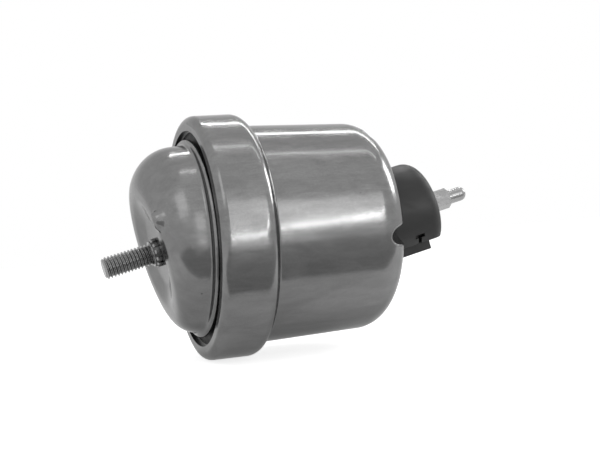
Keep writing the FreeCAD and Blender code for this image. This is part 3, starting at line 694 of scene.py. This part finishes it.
    def annulus(self, name: str, outer: float, low: float, high: float) -> bpy.types.Object:
        """Flat ring round the neck, extruded from a circle, with four faces for each tooth and gap.

        Args:
            name: name of the object.
            outer: outer radius in millimetres.
            low: lower face in millimetres.
            high: upper face in millimetres.

        Returns:
            The ring.
        """
        inner = self.neck_radius + self.ring_play
        Bench.clear()
        bpy.ops.mesh.primitive_circle_add(vertices=self.teeth * 4, radius=inner * MM, fill_type="NOTHING",
                                          location=(0, 0, low * MM))
        made = bpy.context.object
        made.name = made.data.name = name
        bpy.ops.object.transform_apply(location=True, rotation=True, scale=True)
        bpy.ops.object.mode_set(mode="EDIT")
        bpy.ops.mesh.select_all(action="SELECT")
        bpy.ops.mesh.extrude_edges_move()
        bpy.ops.transform.resize(value=(outer / inner, outer / inner, 1), center_override=(0, 0, low * MM))
        bpy.ops.mesh.select_all(action="SELECT")
        bpy.ops.mesh.extrude_region_move(TRANSFORM_OT_translate={"value": (0, 0, (high - low) * MM)})
        bpy.ops.mesh.select_all(action="SELECT")
        bpy.ops.mesh.normals_make_consistent(inside=False)
        bpy.ops.object.mode_set(mode="OBJECT")
        return made

    def on_tooth(self, face: bpy.types.MeshPolygon) -> bool:
        """Say whether a face of the lock ring's body carries a tooth: two of every four outside ones do.

        Args:
            face: a face of the ring.

        Returns:
            True for the foot of a tooth.
        """
        step = 2 * math.pi / (self.teeth * 4)
        upright = abs(face.normal.z) < 0.5
        outward = face.normal.x * face.center.x + face.normal.y * face.center.y > 0
        turn = int((math.atan2(face.center.y, face.center.x) % (2 * math.pi)) / step)
        return upright and outward and turn % 4 in (0, 1)

    def lock_ring(self, material: bpy.types.Material) -> bpy.types.Object:
        """Ring with tapered teeth round its rim and a thin lip in front.

        Args:
            material: its finish.

        Returns:
            The lock ring.
        """
        made = self.annulus("toothed_lock_ring", self.ring_body_radius, self.ring_lift, self.ring_height)
        Bench.pick(made, Part.FACES, self.on_tooth)
        reach = self.ring_radius / self.ring_body_radius
        bpy.ops.mesh.extrude_region_move(TRANSFORM_OT_translate={"value": (0, 0, 0)})
        bpy.ops.transform.resize(value=(reach, reach, 1), center_override=(0, 0, 0))
        bpy.ops.transform.resize(value=(1, 1, self.tooth_taper),
                                 center_override=(0, 0, self.tooth_floor * MM))
        bpy.ops.object.mode_set(mode="OBJECT")
        lip = self.annulus("ring_lip", self.lip_radius, self.ring_height - self.lip_sink,
                           self.ring_height + self.lip_height)
        for piece, width in ((made, self.tooth_edge), (lip, self.lip_edge)):
            Bench.modify(piece, "BEVEL", width=width * MM, segments=2, limit_method="ANGLE",
                         angle_limit=math.radians(40))
        Bench.combine(made, lip, "UNION")
        made.name = made.data.name = "toothed_lock_ring"
        Bench.place(made, self.frame_of_stud())
        return Bench.finish(made, material, Slot.BRIGHT_STEEL, ["lock_ring"], self.ring_crease)


@dataclass
class CapSkin:
    """Stop cap as the press leaves it: dish and shoulder fold softly together, and the nib is a bump.

    Each fade is the distance over which softening goes from nothing to full.
    """

    group: StudGroup
    nib_along: float = 12.4
    nib_across: float = -25.5
    nib_radius: float = 3.3
    plug_gap: float = 0.5
    plug_depth: float = 4.0
    plug_top: float = 2.9
    rim_radius: float = 36.0
    rim_stretch: float = 1.07
    cell: float = 0.38
    face_depth: float = 9.0
    face_fade: float = 4.0
    bore_guard: float = 6.0
    bore_fade: float = 3.0
    nib_guard: float = 0.6
    nib_guard_fade: float = 3.0
    nib_reach: float = 3.2
    nib_fade: float = 2.2
    nib_depth: float = 6.0
    face_rounds: int = 50
    nib_rounds: int = 60
    last_rounds: int = 7
    kept_share: float = 0.55
    crease: float = 50.0

    def blank(self) -> bpy.types.Object:
        """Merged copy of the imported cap, its rim drawn out and the hollow behind its nib filled.

        Without the filling the thin wall of the nib would tear when the cap is meshed anew.

        Returns:
            The copy.
        """
        made = bpy.data.objects.new("soft_stop_cap", frame["nodes"]["stop_cap"].data.copy())
        bpy.context.scene.collection.objects.link(made)
        Bench.take(made)
        bpy.ops.object.mode_set(mode="EDIT")
        bpy.ops.mesh.select_all(action="SELECT")
        bpy.ops.mesh.remove_doubles(threshold=MERGE_DISTANCE)
        bpy.ops.object.mode_set(mode="OBJECT")
        rim = self.rim_radius * MM * 0.985
        Bench.pick(made, Part.CORNERS, lambda corner: math.hypot(corner.co.x, corner.co.y) > rim)
        bpy.ops.transform.resize(value=(1, self.rim_stretch, 1), center_override=(0, 0, 0))
        bpy.ops.object.mode_set(mode="OBJECT")
        plug_radius = self.nib_radius - self.plug_gap
        plug = Bench.cylinder("nib_plug", plug_radius, -self.plug_depth, self.plug_top, 48)
        Bench.place(plug, Matrix.Translation((self.nib_along * MM, self.nib_across * MM, 0)))
        Bench.place(plug, self.group.frame_of_stud())
        Bench.combine(made, plug, "UNION")
        return made

    def weights(self, place: Vector) -> tuple[float, float]:
        """How far the face and the nib are softened at a place: 0 not at all, 1 in full.

        Args:
            place: a vertex, in metres in the frame of the stud.

        Returns:
            Weight of the face and weight of the nib.
        """
        along, across, height = (value / MM for value in place)
        reach = math.hypot(along, across)
        beside = math.hypot(along - self.nib_along, across - self.nib_across)
        face = fade((height + self.face_depth) / self.face_fade)
        face *= fade((reach - self.bore_guard) / self.bore_fade)
        face *= fade((beside - self.nib_radius - self.nib_guard) / self.nib_guard_fade)
        nib = fade((self.nib_radius + self.nib_reach - beside) / self.nib_fade)
        if height <= -self.nib_depth:
            nib = 0.0
        return face, nib

    def build(self, material: bpy.types.Material) -> bpy.types.Object:
        """Mesh the blank in even cells and soften its folds.

        Args:
            material: its finish.

        Returns:
            The cap.
        """
        skin = self.blank()
        Bench.modify(skin, "REMESH", mode="VOXEL", voxel_size=self.cell * MM, use_smooth_shade=True)
        Bench.place(skin, self.group.frame_of_stud().inverted())
        face = skin.vertex_groups.new(name="face")
        nib = skin.vertex_groups.new(name="nib")
        for vertex in skin.data.vertices:
            for group, weight in zip((face, nib), self.weights(vertex.co)):
                group.add([vertex.index], weight, "REPLACE")
        Bench.modify(skin, "SMOOTH", factor=0.5, iterations=self.face_rounds, vertex_group="face")
        Bench.modify(skin, "SMOOTH", factor=0.5, iterations=self.nib_rounds, vertex_group="nib")
        Bench.modify(skin, "SMOOTH", factor=0.5, iterations=self.last_rounds)
        Bench.modify(skin, "DECIMATE", ratio=self.kept_share)
        Bench.place(skin, self.group.frame_of_stud())
        skin.vertex_groups.clear()
        return Bench.finish(skin, material, Slot.DRAWN_STEEL, ["stop_cap"], self.crease)


@dataclass(frozen=True)
class Softbox:
    """One rectangular lamp.

    Its centre and the point it faces are in millimetres, as are its width across and its height along the
    can. Its power is in watts, and its roll about the line to its aim in degrees.
    """

    name: str
    place: Triple
    aim: Triple
    width: float
    height: float
    power: float
    roll: float = 0.0

    def hang(self) -> None:
        """Add the lamp to the scene."""
        data = bpy.data.lights.new(self.name, "AREA")
        data.shape, data.energy = "RECTANGLE", self.power
        data.size, data.size_y = self.width * MM, self.height * MM
        lamp = bpy.data.objects.new(self.name, data)
        back = (Vector(self.place) - Vector(self.aim)).normalized()
        across = Vector((0, 0, 1)).cross(back).normalized()
        facing = Matrix((across, back.cross(across), back)).transposed().to_4x4()
        turned = facing @ Matrix.Rotation(math.radians(self.roll), 4, "Z")
        lamp.matrix_world = Matrix.Translation(Vector(self.place) * MM) @ turned
        bpy.context.scene.collection.objects.link(lamp)


@dataclass
class Studio:
    """Camera, lamps, white surroundings and the floor the mount lies on.

    The strips draw the thin lines along the top of the can, the window and its edge the broad band below
    them, and the panels light the flank of the cap and the closed end.
    """

    camera_place: Triple = (11.9, -391.7, 109.5)
    camera_right: Triple = (-0.0730, -0.3164, -0.9458)
    camera_up: Triple = (0.9970, 0.0, -0.0769)
    lens: float = 66.0
    sensor: float = 36.0
    fill: float = 0.6
    floor_gap: float = 0.3
    floor_reach: float = 900.0
    floor_shade: float = 0.8
    floor_lift: float = 0.75
    floor_mirrored: float = 0.35
    card_place: Triple = (-43.9, -175.0, -90.0)
    card_width: float = 230.0
    card_length: float = 440.0
    card_shade: float = 0.5
    matt: float = 0.9
    lamps: tuple[Softbox, ...] = (
        Softbox("top_strip", (420, -20, -150), (0, 0, -20), 8, 420, 0.10),
        Softbox("back_strip", (310, 221, -160), (0, 0, -20), 7, 420, 0.40),
        Softbox("front_window", (150, -410, -170), (0, 0, -10), 190, 300, 0.20),
        Softbox("window_edge", (50, -430, -175), (0, 0, -10), 11, 300, 0.20, 33),
        Softbox("flank_panel", (260, -260, 150), (0, 0, 30), 200, 160, 0.08),
        Softbox("side_panel", (190, 40, -430), (0, 0, -30), 120, 160, 0.50),
    )

    def place_camera(self) -> None:
        """Add the camera and make it the scene's own."""
        right, up = Vector(self.camera_right).normalized(), Vector(self.camera_up)
        back = right.cross(up).normalized()
        facing = Matrix((right, back.cross(right), back)).transposed().to_4x4()
        data = bpy.data.cameras.new("viewpoint")
        data.lens, data.sensor_width = self.lens, self.sensor
        data.clip_start, data.clip_end = 0.01, 20.0
        camera = bpy.data.objects.new("viewpoint", data)
        camera.matrix_world = Matrix.Translation(Vector(self.camera_place) * MM) @ facing
        bpy.context.scene.collection.objects.link(camera)
        bpy.context.scene.camera = camera

    def surround(self) -> None:
        """White world for the camera and for what is mirrored or seen through, and soft fill for the rest."""
        world = bpy.data.worlds.new("surround")
        world.use_nodes = True
        bpy.context.scene.world = world
        nodes, links = world.node_tree.nodes, world.node_tree.links
        ground = next(node for node in nodes if node.type == "BACKGROUND")
        ground.inputs["Color"].default_value = (1, 1, 1, 1)
        paths = nodes.new("ShaderNodeLightPath")
        seen = paths.outputs["Is Camera Ray"]
        for other in ("Is Glossy Ray", "Is Transmission Ray"):
            either = nodes.new("ShaderNodeMath")
            either.operation = "MAXIMUM"
            links.new(seen, either.inputs[0])
            links.new(paths.outputs[other], either.inputs[1])
            seen = either.outputs[0]
        strength = nodes.new("ShaderNodeMapRange")
        strength.inputs["To Min"].default_value = self.fill
        strength.inputs["To Max"].default_value = 1.0
        links.new(seen, strength.inputs["Value"])
        links.new(strength.outputs["Result"], ground.inputs["Strength"])

    def floor_finish(self) -> bpy.types.Material:
        """Matt white that stays white under the lamps, is mirrored a little darker, and is clear from behind.

        Returns:
            The material.
        """
        recipe = Recipe("pale_floor")
        paths = recipe.node("ShaderNodeLightPath").outputs
        mirrored = recipe.reckon("MAXIMUM", paths["Is Glossy Ray"], paths["Is Transmission Ray"])
        lift = recipe.reckon("MAXIMUM", recipe.reckon("MULTIPLY", paths["Is Camera Ray"], self.floor_lift),
                             recipe.reckon("MULTIPLY", mirrored, self.floor_mirrored))
        recipe.wear(base_color=(self.floor_shade,) * 3 + (1.0,), roughness=self.matt,
                    emission_color=(1, 1, 1, 1), emission_strength=lift)
        clear = recipe.node("ShaderNodeBsdfTransparent")
        side = recipe.node("ShaderNodeNewGeometry")
        mix = recipe.node("ShaderNodeMixShader")
        recipe.feed(mix.inputs["Fac"], side.outputs["Backfacing"])
        recipe.feed(mix.inputs[1], recipe.shader.outputs["BSDF"])
        recipe.feed(mix.inputs[2], clear.outputs["BSDF"])
        recipe.feed(recipe.surface, mix.outputs["Shader"])
        return recipe.material

    def lay_floor(self, lowest: float) -> None:
        """Pale floor under the mount as it lies on its collar.

        Args:
            lowest: X of the mount's lowest point, in metres.
        """
        bpy.ops.mesh.primitive_plane_add(size=2 * self.floor_reach * MM,
                                         location=(lowest - self.floor_gap * MM, 0, 0),
                                         rotation=(0, math.radians(90), 0))
        floor = bpy.context.object
        floor.name = "floor"
        floor.data.materials.append(self.floor_finish())

    def lay_grey_card(self) -> None:
        """Grey card beside the can, which only reflections see: it makes the dark band on the steel."""
        bpy.ops.mesh.primitive_plane_add(size=1, rotation=(0, math.radians(90), 0),
                                         location=Vector(self.card_place) * MM)
        card = bpy.context.object
        card.name = "grey_card"
        card.scale = (self.card_length * MM, self.card_width * MM, 1)
        finish = Recipe("grey_card").wear(base_color=(self.card_shade,) * 3 + (1.0,), roughness=self.matt)
        card.data.materials.append(finish)
        card.visible_camera = card.visible_diffuse = card.visible_shadow = card.visible_transmission = False

    def set_up(self, lowest: float) -> None:
        """Place everything that isn't part of the mount.

        Args:
            lowest: X of the mount's lowest point, in metres.
        """
        bpy.context.scene.view_settings.view_transform = "Standard"
        self.place_camera()
        self.surround()
        self.lay_floor(lowest)
        for lamp in self.lamps:
            lamp.hang()
        self.lay_grey_card()


@dataclass
class CarriedNodes:
    """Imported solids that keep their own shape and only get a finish.

    The finishes are materials by the name of their slot.
    """

    finishes: dict[str, bpy.types.Material]

    def dress(self, bodies: dict[str, bpy.types.Object]) -> None:
        """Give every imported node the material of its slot.

        Args:
            bodies: node objects by name.
        """
        for name, node in bodies.items():
            slot = node.material_slots[0].material.name.split(".")[0]
            node.material_slots[0].material = self.finishes[slot]
            LOG.info("dressed %s as %s", name, slot)


def make_finishes() -> dict[str, bpy.types.Material]:
    """Make the material of every slot.

    Returns:
        Materials by the name of their slot.
    """
    finishes = {
        Slot.DRAWN_STEEL: SteelFinish("drawn_zinc_steel"),
        Slot.BRIGHT_STEEL: SteelFinish("bright_zinc_steel", level=0.30, roughness=0.27, edge_level=0.7),
        Slot.PLAIN_STEEL: SteelFinish("plain_dark_steel", level=0.3, roughness=0.4),
        Slot.CAST_ALUMINIUM: CastFinish("sandy_cast_aluminium"),
        Slot.BLACK_RUBBER: RubberFinish("dull_black_rubber"),
        Slot.BLACK_MOULDING: MouldingFinish("grained_black_moulding"),
    }
    return {slot.value: finish.material() for slot, finish in finishes.items()}


def main() -> None:
    """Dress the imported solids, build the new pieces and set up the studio."""
    logging.basicConfig(level=logging.INFO, format="%(name)s: %(message)s")
    finishes = make_finishes()
    CarriedNodes(finishes).dress(frame["nodes"])
    group = StudGroup()
    group.stud(finishes[Slot.BRIGHT_STEEL.value])
    group.lock_ring(finishes[Slot.BRIGHT_STEEL.value])
    CapSkin(group).build(finishes[Slot.DRAWN_STEEL.value])
    Studio().set_up(CAD_BOX[0][0])


if __name__ == "__main__":
    main()
